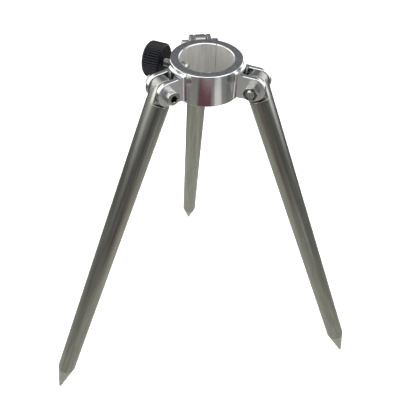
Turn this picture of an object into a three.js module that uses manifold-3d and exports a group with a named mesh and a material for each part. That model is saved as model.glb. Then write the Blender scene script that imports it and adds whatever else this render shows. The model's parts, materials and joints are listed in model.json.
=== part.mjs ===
// Small three-legged stand that clamps round a 32 mm survey prism pole.
// An aluminium collar carries three forked lugs; a pointed steel leg swings in each fork,
// and a fluted knob drives a clamp stud through the collar against the pole.
// Units are millimetres and degrees, +Z is up, and the three leg points stand on z = 0.
import * as THREE from 'three';
import { mergeVertices } from 'three/addons/utils/BufferGeometryUtils.js';
import Module from 'manifold-3d';

const wasm = await Module();
wasm.setup();
const { degToRad, radToDeg } = THREE.MathUtils;

// ---- driving dimensions ----
const POLE_BORE = 32.5;
const SLEEVE = { wall: 0.6, fit: 0.1, edge: 0.15, slit: 0.7, slitAzimuth: 60.7 };
const COLLAR = { diameter: 44, height: 20, edge: 0.6, boreEdge: 0.2 };
const LUG = { pivotRadius: 32, endRadius: 7.4, width: 14, edge: 0.6, rootFillet: 3, cove: 2 };
const SLOT = { width: 8, floorRadius: 23.8, corner: 1.5 };
const LEG = {
  diameter: 14.7, length: 300, tongue: 6.8, endRadius: 7.3,
  shoulder: 8.2, pointLength: 31, pointRadius: 1.1, edge: 0.4,
};
const LEGS = [
  { name: 'rear', azimuth: 90, splay: 17.5 },
  { name: 'left', azimuth: 210, splay: 26 },
  { name: 'right', azimuth: 330, splay: 24 },
];
// M5 hardware: socket head cap screw, self-locking nut with a nylon ring
const BOLT = {
  diameter: 5, length: 20, endBevel: 0.5,
  headDiameter: 8.5, headHeight: 5, headBevel: 0.4, socket: 4, socketDepth: 2.5,
};
const NUT = {
  acrossFlats: 8, height: 5, hexHeight: 4.8, cornerBevel: 0.4, rimDiameter: 7.6, rimRound: 0.15,
  bore: 5.2, turn: 11,
};
const NYLON_RING = { outer: 6.4, inner: 5.2, height: 0.9, seat: 3.9, fit: 0.1 };
const WASHER = { outer: 13.6, inner: 5.4, thickness: 0.4 };
const PIVOT_HOLE = 5.3;
// clearance under a screw head or nut
const SEAT_GAP = 0.1;
// pole clamp: M5 stud moulded into the knob, with a pressure pad on its inner end
const CLAMP = { azimuth: 150, padFront: 11.7, padFace: 13.7, hole: 5.2, sleeveHole: 6 };
const STUD = {
  diameter: 5, tip: 13.8, end: 35, bevel: 0.4, headDiameter: 8, headFrom: 31, socket: 2.5, socketDepth: 2,
};
const PAD = { diameter: 4.9, stemDiameter: 2.1, stemLength: 1.8, dome: 0.4, edge: 0.2 };
const KNOB = { face: 28, length: 11.3, diameter: 22.4, edge: 0.7, flutes: 44, fluteDepth: 0.4, fit: 0.1 };
// how far a cutting tool runs past the surface that it opens
const PAST = 1;
// sides of a turned surface: the collar and sleeve, the bars, and the small hardware
const ROUND = { collar: 60, bar: 36, small: 24 };

// ---- materials ----
const metal = (color, roughness) => new THREE.MeshStandardMaterial({ color, roughness, metalness: 1 });
const plastic = (color, roughness) => new THREE.MeshStandardMaterial({ color, roughness, metalness: 0 });
const FINISH = {
  collar: () => metal('#c9cbcc', 0.18),
  sleeve: () => metal('#d2d3d1', 0.3),
  leg: () => metal('#85877f', 0.38),
  screw: () => metal('#b4b3aa', 0.22),
  pad: () => metal('#c8c6bf', 0.25),
  nylon: () => plastic('#3c3d3a', 0.5),
  washer: () => plastic('#2c2d2c', 0.55),
  knob: () => plastic('#15161b', 0.42),
};

// ---- shape helpers ----
// A closed mesh as a solid: only its corner points count, and slivers on a turning axis are dropped.
function toSolid(geometry) {
  const bare = new THREE.BufferGeometry();
  bare.setAttribute('position', geometry.getAttribute('position'));
  bare.setIndex(geometry.getIndex());
  const merged = mergeVertices(bare, 1e-4);
  const index = merged.getIndex().array;
  const triangles = [];
  for (let i = 0; i < index.length; i += 3) {
    const [a, b, c] = [index[i], index[i + 1], index[i + 2]];
    if (a !== b && b !== c && c !== a) triangles.push(a, b, c);
  }
  return new wasm.Manifold(new wasm.Mesh({
    numProp: 3,
    vertProperties: new Float32Array(merged.getAttribute('position').array),
    triVerts: new Uint32Array(triangles),
  }));
}

function toGeometry(solid) {
  const { vertProperties, triVerts } = solid.getMesh();
  const geometry = new THREE.BufferGeometry();
  geometry.setAttribute('position', new THREE.BufferAttribute(vertProperties, 3));
  geometry.setIndex(new THREE.BufferAttribute(triVerts, 1));
  geometry.computeVertexNormals();
  return geometry;
}

// A solid turned about Z from [radius, height] corners that run from low to high on the outside.
function turned(profile, segments) {
  const points = profile.map(([radius, height]) => new THREE.Vector2(radius, height));
  return toSolid(new THREE.LatheGeometry(points, segments).rotateX(Math.PI / 2));
}

// Corners of an arc in a turned profile, from one angle to another in degrees.
function arc(radius, height, size, from, to, steps) {
  return Array.from({ length: steps + 1 }, (_, i) => {
    const angle = degToRad(from + ((to - from) * i) / steps);
    return [radius + size * Math.cos(angle), height + size * Math.sin(angle)];
  });
}

// A rod along Z with both rims bevelled.
function rod(radius, low, high, edge, segments) {
  return turned([
    [0, low], [radius - edge, low], [radius, low + edge],
    [radius, high - edge], [radius - edge, high], [0, high],
  ], segments);
}

// A tube along Z, its section one closed loop, with its outer rims and its bore's rims bevelled.
function tube(outer, inner, low, high, edge, boreEdge, segments) {
  return turned([
    [inner, high - boreEdge], [inner, low + boreEdge], [inner + boreEdge, low], [outer - edge, low],
    [outer, low + edge], [outer, high - edge], [outer - edge, high], [inner + boreEdge, high],
    [inner, high - boreEdge],
  ], segments);
}

// A shape drawn in plan, made low..high along Z, with its rims bevelled where edge is given.
function raised(shape, low, high, { edge = 0, curveSegments = 8 } = {}) {
  const geometry = new THREE.ExtrudeGeometry(shape, {
    depth: high - low - 2 * edge, curveSegments, bevelEnabled: edge > 0,
    bevelThickness: edge, bevelSize: edge, bevelOffset: -edge, bevelSegments: 1,
  });
  return toSolid(geometry.translate(0, 0, low + edge));
}

function hexagon(acrossFlats) {
  const corner = acrossFlats / Math.sqrt(3);
  return new THREE.Shape(Array.from({ length: 6 }, (_, i) => {
    const angle = (i * Math.PI) / 3;
    return new THREE.Vector2(corner * Math.cos(angle), corner * Math.sin(angle));
  }));
}

// Turns that lay a solid made along Z onto another axis of the lug frame (X outward, Y sideways).
const alongX = (solid) => solid.rotate([0, 90, 0]);
const alongY = (solid) => solid.rotate([-90, 0, 0]);
const aroundZ = (solid, azimuth) => solid.rotate([0, 0, azimuth]);

// ---- collar ----
const collarRadius = COLLAR.diameter / 2;
const collarTop = COLLAR.height / 2;
const lugSide = LUG.width / 2;
const sleeveInner = POLE_BORE / 2;
const sleeveOuter = sleeveInner + SLEEVE.wall;
const collarBore = sleeveOuter + SLEEVE.fit;

// Side view of a lug: straight from the collar, then a half round about the pivot.
function lugBlock() {
  const side = new THREE.Shape();
  side.moveTo(collarRadius - LUG.rootFillet, -LUG.endRadius);
  side.lineTo(LUG.pivotRadius, -LUG.endRadius);
  side.absarc(LUG.pivotRadius, 0, LUG.endRadius, -Math.PI / 2, Math.PI / 2, false);
  side.lineTo(collarRadius - LUG.rootFillet, LUG.endRadius);
  return raised(side, -lugSide, lugSide, { edge: LUG.edge }).rotate([90, 0, 0]);
}

// Plan of the root, where the lug's sides flare into the collar's wall by a fillet.
function rootPlan() {
  const reach = collarRadius + LUG.rootFillet;
  const offset = lugSide + LUG.rootFillet;
  const filletX = Math.sqrt(reach ** 2 - offset ** 2);
  const wall = Math.atan2(-offset, -filletX);
  const inside = collarRadius - LUG.rootFillet;
  const tangentY = (offset * collarRadius) / reach;
  const plan = new THREE.Shape();
  plan.moveTo(inside, -tangentY);
  plan.absarc(filletX, -offset, LUG.rootFillet, -wall, Math.PI / 2, true);
  plan.lineTo(SLOT.floorRadius + SLOT.corner, -lugSide);
  plan.lineTo(SLOT.floorRadius + SLOT.corner, lugSide);
  plan.absarc(filletX, offset, LUG.rootFillet, -Math.PI / 2, wall, true);
  plan.lineTo(inside, tangentY);
  return plan;
}

// The hollow rounding between the lug's flat top and the collar's wall, above and below.
function lugCoves() {
  const { cove, endRadius } = LUG;
  const inside = collarRadius - PAST;
  const foot = endRadius - LUG.edge;
  const ring = turned([
    [inside, foot], [collarRadius + cove, foot],
    ...arc(collarRadius + cove, endRadius + cove, cove, -90, -180, 4),
    [inside, endRadius + cove], [inside, foot],
  ], ROUND.collar);
  const upper = ring.intersect(raised(rootPlan(), foot - PAST, collarTop));
  return upper.add(upper.mirror([0, 0, 1]));
}

// The fork's slot, open at both ends and outward, with rounded floor corners.
function slotCut() {
  const half = SLOT.width / 2;
  const { corner, floorRadius } = SLOT;
  const beyond = LUG.pivotRadius + LUG.endRadius + PAST;
  const plan = new THREE.Shape();
  plan.moveTo(beyond, -half);
  plan.lineTo(beyond, half);
  plan.absarc(floorRadius + corner, half - corner, corner, Math.PI / 2, Math.PI, false);
  plan.absarc(floorRadius + corner, corner - half, corner, Math.PI, 1.5 * Math.PI, false);
  return raised(plan, -collarTop - PAST, collarTop + PAST, { curveSegments: 4 });
}

function collar() {
  const { edge, boreEdge } = COLLAR;
  let body = tube(collarRadius, collarBore, -collarTop, collarTop, edge, boreEdge, ROUND.collar);
  const root = raised(rootPlan(), -LUG.endRadius, LUG.endRadius);
  const lug = lugBlock().add(root).add(lugCoves());
  const pivotHole = alongY(rod(PIVOT_HOLE / 2, -LUG.width, LUG.width, 0, ROUND.small));
  const cut = slotCut().add(pivotHole.translate([LUG.pivotRadius, 0, 0]));
  for (const { azimuth } of LEGS) body = body.add(aroundZ(lug, azimuth));
  for (const { azimuth } of LEGS) body = body.subtract(aroundZ(cut, azimuth));
  const bore = rod(collarBore, boreEdge - collarTop, collarTop - boreEdge, 0, ROUND.collar);
  const stud = aroundZ(alongX(rod(CLAMP.hole / 2, 0, COLLAR.diameter, 0, ROUND.small)), CLAMP.azimuth);
  return body.subtract(bore).subtract(stud);
}

// Thin split liner in the bore, slit on one side and pierced for the clamp stud.
function poleSleeve() {
  const { edge } = SLEEVE;
  const ring = tube(sleeveOuter, sleeveInner, -collarTop, collarTop, edge, edge, ROUND.collar);
  const half = SLEEVE.slit / 2;
  const slit = new THREE.Shape([
    new THREE.Vector2(0, -half), new THREE.Vector2(collarRadius, -half),
    new THREE.Vector2(collarRadius, half), new THREE.Vector2(0, half),
  ]);
  const stud = alongX(rod(CLAMP.sleeveHole / 2, 0, collarRadius, 0, ROUND.small));
  return ring
    .subtract(aroundZ(raised(slit, -COLLAR.height, COLLAR.height), SLEEVE.slitAzimuth))
    .subtract(aroundZ(stud, CLAMP.azimuth));
}

// ---- legs, with the pivot at the origin and the bar running down along Z ----
function leg() {
  const radius = LEG.diameter / 2;
  const { pointRadius: tip, length, endRadius, shoulder } = LEG;
  const slope = Math.atan2(radius - tip, LEG.pointLength - tip);
  const bar = turned([
    ...arc(0, tip - length, tip, -90, radToDeg(-slope), 5),
    [radius, LEG.pointLength - length], [radius, endRadius + PAST], [0, endRadius + PAST],
  ], ROUND.bar);
  const side = new THREE.Shape();
  side.absarc(0, 0, endRadius, 0, Math.PI, false);
  side.lineTo(-endRadius, -shoulder);
  side.lineTo(endRadius, -shoulder);
  const tongue = raised(side, -LEG.tongue / 2, LEG.tongue / 2, { edge: LEG.edge }).rotate([90, 0, 0]);
  const shank = rod(LEG.diameter, -length, -shoulder, 0, ROUND.bar);
  const hole = alongY(rod(PIVOT_HOLE / 2, -LEG.diameter, LEG.diameter, 0, ROUND.small));
  return bar.intersect(tongue.add(shank)).subtract(hole);
}

// ---- fasteners, along Z with the bearing face at z = 0 ----
function capScrew() {
  const { headHeight, endBevel } = BOLT;
  const head = rod(BOLT.headDiameter / 2, SEAT_GAP, headHeight, BOLT.headBevel, ROUND.small);
  const shank = rod(BOLT.diameter / 2, -BOLT.length, SEAT_GAP + endBevel, endBevel, ROUND.small);
  const socket = raised(hexagon(BOLT.socket), headHeight - BOLT.socketDepth, headHeight + PAST);
  return head.add(shank).subtract(socket);
}

function lockNut() {
  const { hexHeight, height, cornerBevel, rimRound } = NUT;
  const corner = NUT.acrossFlats / Math.sqrt(3);
  const rim = NUT.rimDiameter / 2;
  const envelope = turned([
    [0, SEAT_GAP], [corner - cornerBevel, SEAT_GAP], [corner, SEAT_GAP + cornerBevel],
    [corner, hexHeight - cornerBevel], [rim, hexHeight],
    ...arc(rim - rimRound, height - rimRound, rimRound, 0, 90, 3), [0, height],
  ], ROUND.small);
  const hex = raised(hexagon(NUT.acrossFlats), -PAST, hexHeight);
  const top = rod(rim, hexHeight - cornerBevel, height + PAST, 0, ROUND.small);
  const ringSeat = NYLON_RING.outer / 2 + NYLON_RING.fit;
  return envelope.intersect(hex.add(top))
    .subtract(rod(NUT.bore / 2, -PAST, height + PAST, 0, ROUND.small))
    .subtract(rod(ringSeat, NYLON_RING.seat - NYLON_RING.fit, height + PAST, 0, ROUND.small));
}

function nylonRing() {
  const { outer, inner, seat, height } = NYLON_RING;
  return tube(outer / 2, inner / 2, seat, seat + height, 0, 0, ROUND.small);
}

function frictionWasher() {
  const half = WASHER.thickness / 2;
  return tube(WASHER.outer / 2, WASHER.inner / 2, -half, half, 0, 0, ROUND.small);
}

// ---- clamp, along X from the bore outward ----
function clampStud() {
  const { tip, end, bevel } = STUD;
  const shank = rod(STUD.diameter / 2, tip, end, bevel, ROUND.small);
  const head = rod(STUD.headDiameter / 2, STUD.headFrom, end, bevel, ROUND.small);
  const socket = rod(STUD.socket / 2, tip - PAST, tip + STUD.socketDepth, 0, ROUND.small);
  return alongX(shank.add(head).subtract(socket));
}

function clampPad() {
  const { dome, edge, stemLength } = PAD;
  const { padFront, padFace } = CLAMP;
  const radius = PAD.diameter / 2;
  const disc = turned([
    [0, padFront], [radius / 2, padFront + dome / 4], [radius - edge, padFront + dome],
    [radius, padFront + dome + edge], [radius, padFace], [0, padFace],
  ], ROUND.small);
  const stem = rod(PAD.stemDiameter / 2, padFace - edge, padFace + stemLength, edge, ROUND.small);
  return alongX(disc.add(stem));
}

// Fluted grip: shallow scallops round a cylinder, flat inner face, pocket for the stud's head.
function clampKnob() {
  const { face, fit } = KNOB;
  const outer = KNOB.diameter / 2;
  const steps = KNOB.flutes * 4;
  const outline = Array.from({ length: steps }, (_, i) => {
    const angle = (i / steps) * 2 * Math.PI;
    const wave = (1 - Math.cos(angle * KNOB.flutes)) / 2;
    const radius = outer - KNOB.fluteDepth * wave;
    return new THREE.Vector2(radius * Math.cos(angle), radius * Math.sin(angle));
  });
  const back = face + KNOB.length;
  const fluted = raised(new THREE.Shape(outline), face, back);
  const body = fluted.intersect(rod(outer, face, back, KNOB.edge, ROUND.collar));
  const pocketRadius = STUD.headDiameter / 2 + fit;
  const pocket = rod(pocketRadius, STUD.headFrom - fit, STUD.end + fit, 0, ROUND.small);
  const throat = rod(STUD.diameter / 2 + fit, face - PAST, STUD.headFrom + PAST, 0, ROUND.small);
  return alongX(body.subtract(pocket).subtract(throat));
}

// ---- assembly ----
function part(name, solid, finish) {
  const mesh = new THREE.Mesh(toGeometry(solid), FINISH[finish]());
  mesh.name = name;
  return mesh;
}

// One fork with its leg, screw, nut and washers, with the pivot at the group's origin.
function fork({ name, azimuth, splay }) {
  const pivot = new THREE.Group();
  const place = (node, solid, finish, y) => {
    const mesh = part(`${node}_${name}`, solid, finish);
    mesh.position.y = y;
    pivot.add(mesh);
    return mesh;
  };
  place('leg', leg(), 'leg', 0).rotation.y = degToRad(-splay);
  place('hinge_bolt', alongY(capScrew()), 'screw', lugSide);
  const ontoNutSide = (solid) => solid.rotate([0, 0, NUT.turn]).rotate([90, 0, 0]);
  place('lock_nut', ontoNutSide(lockNut()), 'screw', -lugSide);
  place('nut_ring', ontoNutSide(nylonRing()), 'nylon', -lugSide);
  const washerY = (LEG.tongue + SLOT.width) / 4;
  for (const [side, y] of [['a', washerY], ['b', -washerY]]) {
    const washer = place('friction_washer', alongY(frictionWasher()), 'washer', y);
    washer.name += `_${side}`;
  }
  pivot.position.x = LUG.pivotRadius;
  const turn = new THREE.Group();
  turn.rotation.z = degToRad(azimuth);
  turn.add(pivot);
  return turn;
}

function clamp() {
  const group = new THREE.Group();
  group.rotation.z = degToRad(CLAMP.azimuth);
  group.add(part('clamp_stud', clampStud(), 'screw'));
  group.add(part('clamp_pad', clampPad(), 'pad'));
  group.add(part('clamp_knob', clampKnob(), 'knob'));
  return group;
}

// Centre of the small ball that ends a leg, in the collar's frame.
function pointCentre({ azimuth, splay }) {
  const reach = LEG.length - LEG.pointRadius;
  const out = LUG.pivotRadius + reach * Math.sin(degToRad(splay));
  const angle = degToRad(azimuth);
  return new THREE.Vector3(
    out * Math.cos(angle), out * Math.sin(angle), -reach * Math.cos(degToRad(splay)),
  );
}

const head = new THREE.Group();
head.add(part('collar', collar(), 'collar'));
head.add(part('pole_sleeve', poleSleeve(), 'sleeve'));
for (const entry of LEGS) head.add(fork(entry));
head.add(clamp());

// Each leg is splayed by its own angle, so the collar leans until all three points meet the ground.
const ground = new THREE.Plane().setFromCoplanarPoints(...LEGS.map(pointCentre));
head.quaternion.setFromUnitVectors(ground.normal, new THREE.Vector3(0, 0, 1));

const stand = new THREE.Group();
stand.add(head);
stand.updateMatrixWorld(true);
const footprint = new THREE.Box3().setFromObject(stand, true);
const middle = footprint.getCenter(new THREE.Vector3());
head.position.set(-middle.x, -middle.y, -footprint.min.z);

export default stand;
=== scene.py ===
"""The looks of a small survey pole tripod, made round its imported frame.

The frame gives where each lug pivots, how far each leg is splayed and where the clamp screw runs.
Every shape is modelled in millimetres in its own upright frame, then laid on its pivot in metres.
"""
import json
from math import acos, atan2, cos, degrees, pi, radians, sin, sqrt, tan

import bmesh
import bpy
from bpy.props import FloatProperty, FloatVectorProperty, IntProperty, PointerProperty
from mathutils import Matrix, Vector


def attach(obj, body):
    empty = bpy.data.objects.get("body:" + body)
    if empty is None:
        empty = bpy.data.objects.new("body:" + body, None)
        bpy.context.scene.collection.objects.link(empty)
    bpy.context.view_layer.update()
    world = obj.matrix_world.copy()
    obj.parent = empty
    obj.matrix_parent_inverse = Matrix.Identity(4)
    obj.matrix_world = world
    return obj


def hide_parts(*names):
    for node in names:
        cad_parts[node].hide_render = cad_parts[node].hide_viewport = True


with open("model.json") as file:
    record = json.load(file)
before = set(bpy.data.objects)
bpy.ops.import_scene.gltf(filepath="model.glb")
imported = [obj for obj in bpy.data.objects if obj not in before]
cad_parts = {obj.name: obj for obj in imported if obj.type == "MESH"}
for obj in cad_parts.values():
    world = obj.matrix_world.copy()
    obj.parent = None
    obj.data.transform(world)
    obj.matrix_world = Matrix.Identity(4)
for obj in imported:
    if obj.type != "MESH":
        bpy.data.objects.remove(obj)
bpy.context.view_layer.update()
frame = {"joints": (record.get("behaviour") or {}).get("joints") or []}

bl_info = {
    "name": "Survey pole tripod",
    "version": (1, 0, 0),
    "blender": (4, 5, 0),
    "location": "View3D > Sidebar > Tripod",
    "description": "Builds the finished pieces of a survey pole tripod round its frame",
    "category": "Object",
}

MM = 0.001
SIDES = ("rear", "left", "right")
JOINTS = {joint["name"]: joint for joint in frame["joints"]}


# ---- sizes and colours that a user would change ----
def length(name, default_mm, description):
    """A length property, given in millimetres and kept in metres."""
    return FloatProperty(name=name, description=description, default=default_mm * MM,
                         min=0, unit="LENGTH", precision=5)


def colour(name, default, description):
    """A colour property."""
    return FloatVectorProperty(name=name, description=description, default=default,
                               size=3, min=0, max=1, subtype="COLOR")


class CollarSettings(bpy.types.PropertyGroup):
    """Sizes and colours of the collar and the liner in its bore."""

    diameter: length("Collar diameter", 44, "Outside of the collar's ring")
    height: length("Collar height", 20, "Height of the collar's ring")
    pole_bore: length("Pole bore", 32.5, "Hole that the pole slides through")
    sleeve_wall: length("Liner wall", 0.6, "Thickness of the split liner")
    rim: length("Rim", 0.42, "Chamfer on the ring's outer rims")
    ear_radius: length("Ear radius", 7.4, "Half round end of each ear")
    lug_width: length("Lug width", 14, "Width over a pair of ears")
    slot_width: length("Slot width", 8, "Gap between a pair of ears")
    root_fillet: length("Root fillet", 3, "Upright fillet where a lug leaves the ring")
    metal: colour("Aluminium", (0.80, 0.81, 0.82), "Polished aluminium")
    # far darker than the ring's wall: painted shade on the ring's top and bottom faces
    faced_metal: colour("Faced aluminium", (0.36, 0.365, 0.38), "Aluminium on the ring's faces, darkened as painted shade")
    # lighter than the ring's wall: painted light in the bore and on the liner
    bore_metal: colour("Bored aluminium", (0.95, 0.95, 0.93), "Aluminium in the bore")


class LegSettings(bpy.types.PropertyGroup):
    """Sizes and colours of the legs."""

    diameter: length("Leg diameter", 14.7, "Round bar of a leg")
    reach: length("Leg length", 300, "From the pivot to the point's end")
    tongue: length("Tongue", 6.8, "Thickness of the flat that swings between the ears")
    point_length: length("Point length", 31, "Turned cone at the foot")
    point_radius: length("Point radius", 1.1, "Ball on the end of the cone")
    metal: colour("Drawn steel", (0.40, 0.405, 0.365), "Steel bar as drawn")
    turned_metal: colour("Turned steel", (0.47, 0.475, 0.44), "Steel where it was turned or milled")


class HardwareSettings(bpy.types.PropertyGroup):
    """Sizes and colours of the hinge screws and nuts."""

    thread: length("Thread diameter", 5, "M5 screws and stud")
    pitch: length("Thread pitch", 0.8, "Coarse M5 pitch")
    head_diameter: length("Head diameter", 8.5, "Socket head of the hinge screw")
    head_height: length("Head height", 5, "Socket head of the hinge screw")
    nut_width: length("Nut width", 8, "Across the flats of the lock nut")
    nut_height: length("Nut height", 5, "Whole height of the lock nut")
    metal: colour("Stainless steel", (0.66, 0.66, 0.635), "Screws, nuts and stud")
    nylon: colour("Nylon", (0.05, 0.052, 0.055), "Ring in the lock nut")
    fibre: colour("Fibre", (0.03, 0.03, 0.03), "Washers beside the tongue")


class ClampSettings(bpy.types.PropertyGroup):
    """Sizes and colours of the clamp knob."""

    diameter: length("Knob diameter", 22.4, "Over the knob's ribs")
    length: length("Knob length", 11.3, "Along the screw")
    flutes: IntProperty(name="Flutes", description="Grooves round the knob", default=44, min=6)
    flute_depth: length("Flute depth", 0.6, "Depth of a groove")
    plastic: colour("Plastic", (0.0025, 0.003, 0.006), "Moulded knob")


class StudioSettings(bpy.types.PropertyGroup):
    """Floor, lights and camera."""

    floor: colour("Floor", (0.93, 0.93, 0.925), "Pale floor")
    camera_place: FloatVectorProperty(name="Camera place", description="Where the camera stands",
                                      default=(-0.034962, -0.271336, 0.396999), subtype="XYZ",
                                      unit="LENGTH")
    camera_turn: FloatVectorProperty(name="Camera turn", description="How the camera is turned",
                                     default=(radians(45.7339), radians(-1.1981), radians(-7.0133)),
                                     subtype="EULER", unit="ROTATION")
    lens: FloatProperty(name="Lens", description="Focal length in millimetres on a 36 mm sensor",
                        default=37.243, unit="CAMERA")


class TripodSettings(bpy.types.PropertyGroup):
    """Everything that shapes the tripod."""

    collar: PointerProperty(type=CollarSettings)
    legs: PointerProperty(type=LegSettings)
    hardware: PointerProperty(type=HardwareSettings)
    clamp: PointerProperty(type=ClampSettings)
    studio: PointerProperty(type=StudioSettings)


def settings(context):
    """The tripod's settings in this scene."""
    return context.scene.tripod


# ---- places, from the frame ----
def upright(origin, outward, upward):
    """A frame at origin whose X points outward and whose Z points upward."""
    x = Vector(outward).normalized()
    z = (Vector(upward) - Vector(upward).dot(x) * x).normalized()
    y = z.cross(x)
    turn = Matrix((x, y, z)).transposed().to_4x4()
    return Matrix.Translation(origin) @ turn


PIVOTS = {side: Vector(JOINTS[f"{side}_leg_hinge"]["pos_m"]) for side in SIDES}
COLLAR_CENTRE = sum(PIVOTS.values(), Vector()) / len(SIDES)
COLLAR_AXIS = (PIVOTS["left"] - PIVOTS["rear"]).cross(PIVOTS["right"] - PIVOTS["rear"]).normalized()
PIVOT_RADIUS = (PIVOTS["rear"] - COLLAR_CENTRE).length / MM
REAR_AHEAD = Matrix.Rotation(-pi / 2, 4, "Z")
COLLAR_PLACE = upright(COLLAR_CENTRE, PIVOTS["rear"] - COLLAR_CENTRE, COLLAR_AXIS) @ REAR_AHEAD
CLAMP_AXIS = -Vector(JOINTS["knob_turn"]["axis"])


def azimuth(direction):
    """The angle round the collar's axis of a direction, in degrees."""
    local = COLLAR_PLACE.to_3x3().transposed() @ Vector(direction)
    return degrees(atan2(local.y, local.x))


def lug_place(side):
    """The frame of a lug: X outward from the pivot, Y along the hinge screw, Z up."""
    return upright(PIVOTS[side], PIVOTS[side] - COLLAR_CENTRE, COLLAR_AXIS)


def leg_place(side):
    """The frame of a leg, whose Z runs up the bar through the pivot."""
    splay = radians(-JOINTS[f"{side}_leg_hinge"]["range_deg"][0])
    return lug_place(side) @ Matrix.Rotation(-splay, 4, "Y")


def clamp_place():
    """The frame of the clamp screw: Z runs outward from the bore's axis."""
    x = COLLAR_AXIS
    turn = Matrix((x, CLAMP_AXIS.cross(x), CLAMP_AXIS)).transposed().to_4x4()
    return Matrix.Translation(COLLAR_CENTRE) @ turn


LUG_AZIMUTHS = {side: azimuth(PIVOTS[side] - COLLAR_CENTRE) for side in SIDES}
CLAMP_AZIMUTH = azimuth(CLAMP_AXIS)

# ---- outlines, in millimetres ----
def arc(centre, radius, start, end, steps):
    """Points of an arc, from one angle to another in degrees, both ends included."""
    angles = [radians(start + (end - start) * i / steps) for i in range(steps + 1)]
    return [(centre[0] + radius * cos(a), centre[1] + radius * sin(a)) for a in angles]


def rounded(corners, closed=False, steps=5):
    """An outline through (x, y, radius) corners, each turned by an arc of its radius."""
    points = []
    count = len(corners)
    for i, (x, y, radius) in enumerate(corners):
        ends = not closed and i in (0, count - 1)
        if ends or radius == 0:
            points.append((x, y))
            continue
        here = Vector((x, y))
        before = (Vector(corners[i - 1][:2]) - here).normalized()
        after = (Vector(corners[(i + 1) % count][:2]) - here).normalized()
        half = acos(max(-1, min(1, before.dot(after)))) / 2
        centre = here + (before + after).normalized() * (radius / sin(half))
        first = here + before * (radius / tan(half)) - centre
        last = here + after * (radius / tan(half)) - centre
        sweep = first.angle_signed(last)
        for step in range(steps + 1):
            turn = Matrix.Rotation(-sweep * step / steps, 2)
            points.append(tuple(centre + turn @ first))
    return points


# ---- solids, in millimetres ----
# sides of the turned surfaces, from the ring and the bars down to the small holes
RING_SIDES, BAR_SIDES, WASHER_SIDES, NUT_SIDES, HOLE_SIDES, SOCKET_SIDES = 192, 96, 72, 64, 48, 32
WELD_GAP = 1e-4
EASED_ANGLE = 35


def solid(vertices, faces):
    """A loose object made of these vertices and faces."""
    mesh = bpy.data.meshes.new("solid")
    mesh.from_pydata([tuple(v) for v in vertices], [], faces)
    shape = bpy.data.objects.new("solid", mesh)
    bpy.context.scene.collection.objects.link(shape)
    return shape


def cleaned(shape):
    """The same solid with doubled points joined and its faces turned outward."""
    mesh = bmesh.new()
    mesh.from_mesh(shape.data)
    bmesh.ops.remove_doubles(mesh, verts=mesh.verts, dist=WELD_GAP)
    bmesh.ops.dissolve_degenerate(mesh, edges=mesh.edges, dist=WELD_GAP)
    bmesh.ops.recalc_face_normals(mesh, faces=mesh.faces)
    mesh.to_mesh(shape.data)
    mesh.free()
    return shape


def turned(profile, segments, radius_at=None):
    """A solid turned about Z from (radius, height) points, which end on the axis or meet.

    radius_at gives a point's radius from its radius, height and angle, for flutes and threads.
    """
    ring_angles = [2 * pi * i / segments for i in range(segments)]
    vertices = []
    for r, z in profile:
        for a in ring_angles:
            reach = radius_at(r, z, a) if radius_at else r
            vertices.append((reach * cos(a), reach * sin(a), z))
    faces = []
    closed = profile[0] == profile[-1]
    for i in range(len(profile) - 1):
        low, high = i * segments, (i + 1) * segments
        for j in range(segments):
            k = (j + 1) % segments
            faces.append((low + j, low + k, high + k, high + j))
    if not closed:
        last = (len(profile) - 1) * segments
        if profile[0][0] > 0:
            faces.append(tuple(reversed(range(segments))))
        if profile[-1][0] > 0:
            faces.append(tuple(range(last, last + segments)))
    return cleaned(solid(vertices, faces))


def prism(outline, low, high):
    """A solid with this plan, from low to high along Z."""
    count = len(outline)
    vertices = [(x, y, low) for x, y in outline] + [(x, y, high) for x, y in outline]
    sides = [(i, (i + 1) % count, (i + 1) % count + count, i + count) for i in range(count)]
    ends = [tuple(reversed(range(count))), tuple(range(count, 2 * count))]
    return cleaned(solid(vertices, sides + ends))


def stacked(layers):
    """A solid through plans of equally many points: (outline, height) from the bottom up."""
    count = len(layers[0][0])
    vertices = [(x, y, z) for outline, z in layers for x, y in outline]
    faces = [tuple(reversed(range(count))), tuple(range(len(vertices) - count, len(vertices)))]
    for level in range(len(layers) - 1):
        base = level * count
        for i in range(count):
            k = (i + 1) % count
            faces.append((base + i, base + k, base + count + k, base + count + i))
    return cleaned(solid(vertices, faces))


def rod(radius, low, high, segments=HOLE_SIDES):
    """A plain round cutter along Z."""
    return turned([(0, low), (radius, low), (radius, high), (0, high)], segments)


def moved(shape, matrix):
    """The same solid, moved by a matrix."""
    shape.data.transform(matrix)
    return shape


def along_y(shape):
    """A solid made along Z, laid along Y."""
    return moved(shape, Matrix.Rotation(-pi / 2, 4, "X"))


def along_x(shape):
    """A solid made along Z, laid along X."""
    return moved(shape, Matrix.Rotation(pi / 2, 4, "Y"))


def around(shape, angle):
    """A solid turned about Z by an angle in degrees."""
    return moved(shape, Matrix.Rotation(radians(angle), 4, "Z"))


def settled(shape):
    """The same solid with its modifiers made part of its mesh."""
    bpy.context.view_layer.update()
    graph = bpy.context.evaluated_depsgraph_get()
    mesh = bpy.data.meshes.new_from_object(shape.evaluated_get(graph))
    shape.modifiers.clear()
    shape.data = mesh
    return shape


def eased(shape, width, segments):
    """A solid with its sharp edges rounded."""
    bevel = shape.modifiers.new("ease", "BEVEL")
    bevel.width = width
    bevel.segments = segments
    bevel.limit_method = "ANGLE"
    bevel.angle_limit = radians(EASED_ANGLE)
    bevel.use_clamp_overlap = False
    return settled(shape)


def combined(base, operation, *tools):
    """The base joined with, cut by or kept within each tool in turn. The tools are used up."""
    for tool in tools:
        step = base.modifiers.new(operation, "BOOLEAN")
        step.operation = operation
        step.solver = "MANIFOLD"
        step.object = tool
    settled(base)
    for tool in tools:
        bpy.data.objects.remove(tool)
    return base


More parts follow.
